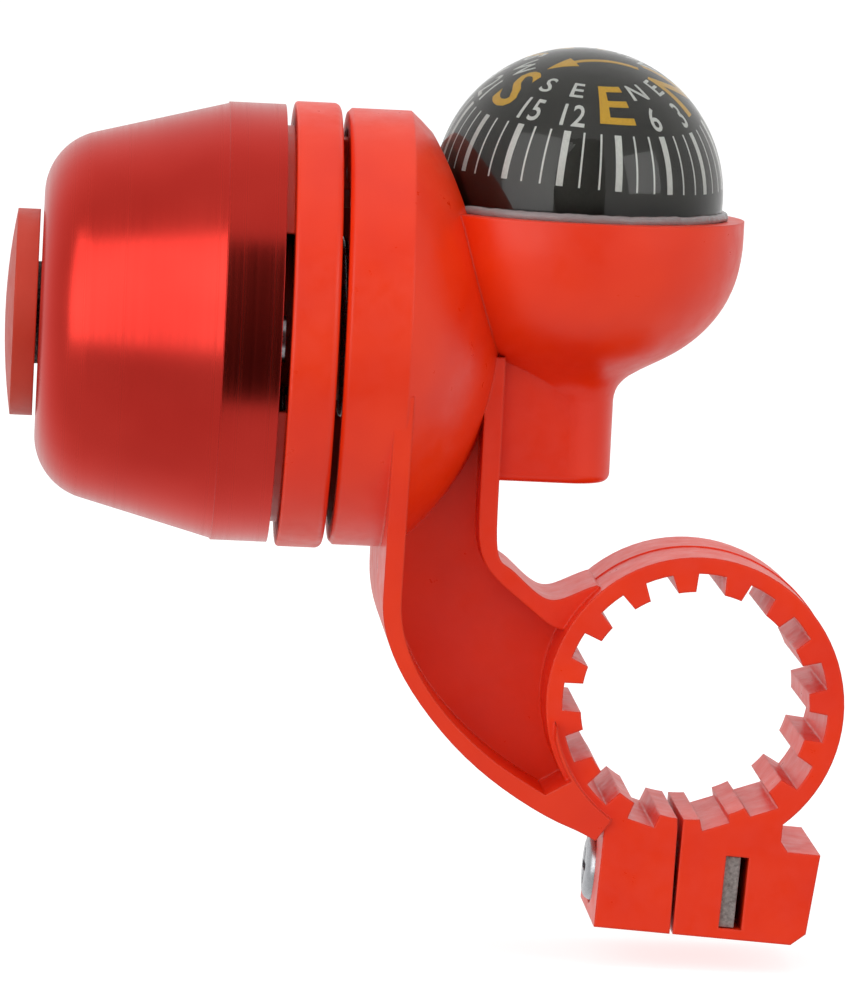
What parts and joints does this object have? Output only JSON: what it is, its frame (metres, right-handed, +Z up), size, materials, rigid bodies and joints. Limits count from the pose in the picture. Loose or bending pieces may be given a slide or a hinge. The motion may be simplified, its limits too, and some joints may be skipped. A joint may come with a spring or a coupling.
{
  "type": "bicycle bell",
  "caption": "Twist-ring bicycle bell with a spun dome, a ball compass in a bowl behind it, and a toothed split clamp for a handlebar.",
  "frame": {"origin": "centre of the handlebar bore of the clamp, on its axis and at the middle of its width", "axes": "+Y along the handlebar, +Z up towards the compass, -X towards the bell dome's front"},
  "size_m": [0.0835, 0.0436, 0.0864],
  "materials": {
    "red_plastic": "moulded ABS, satin gloss",
    "red_cap_plastic": "moulded ABS, polished",
    "red_anodised": "satin red anodised, polished band",
    "zinc_steel": "bright zinc plated",
    "plain_steel": "plain",
    "spring_steel": "drawn wire",
    "fibre": "vulcanised fibre",
    "acetal": "turned acetal",
    "clear_acrylic": "clear moulded acrylic",
    "fluid": "clear mineral oil",
    "card_black": "black, printed scale",
    "brass": "turned",
    "magnet": "ferrite",
    "seal": "clear sealing cement"
  },
  "bodies": {
    "frame": {"clamp_nut": "plain_steel", "bracket": "red_plastic", "centre_post": "plain_steel", "bell_dome": "red_anodised", "seat_washer": "fibre", "cap_plate": "plain_steel", "dome_screw": "zinc_steel", "centre_cap": "red_cap_plastic", "thrust_washer": "acetal", "ring_retainer": "spring_steel", "trip_cam": "acetal", "capsule_dome": "clear_acrylic", "capsule_base": "clear_acrylic", "capsule_gasket": "seal", "filler_plug": "brass", "pivot_pin": "brass", "damping_fluid": "fluid"},
    "ring": {"twist_ring": "red_plastic", "striker_pin": "zinc_steel", "return_spring": "spring_steel"},
    "striker": {"striker_arm": "plain_steel", "striker_head": "zinc_steel", "striker_spring": "spring_steel"},
    "card": {"compass_card": "card_black", "jewel_cup": "brass", "card_magnets": "magnet"},
    "screw": {"clamp_screw": "zinc_steel"}
  },
  "joints": [
    {"name": "ring_twist", "type": "hinge", "parent": "frame", "child": "ring", "pos_m": [-0.039, 0, 0.0348], "axis": [-1, 0, 0], "range_deg": [0, 25], "stiffness_Nm_per_rad": 0.03, "springref_deg": -11.46, "deforming": ["return_spring"]},
    {"name": "striker_swing", "type": "hinge", "parent": "ring", "child": "striker", "pos_m": [-0.044, -0.00848, 0.02632], "axis": [-1, 0, 0], "range_deg": [0, 22.5], "deforming": ["striker_spring"]},
    {"name": "compass_turn", "type": "hinge", "parent": "frame", "child": "card", "pos_m": [-0.0134, 0, 0.049], "axis": [0, 0, 1], "continuous": true},
    {"name": "clamp_screw_turn", "type": "hinge", "parent": "frame", "child": "screw", "pos_m": [-0.00094, 0, -0.01798], "axis": [-0.9986, 0, 0.0523], "range_deg": [0, 360]}
  ],
  "couplings": [
    {"joint": "striker_swing", "follows": "ring_twist", "ratio": 0.9}
  ]
}
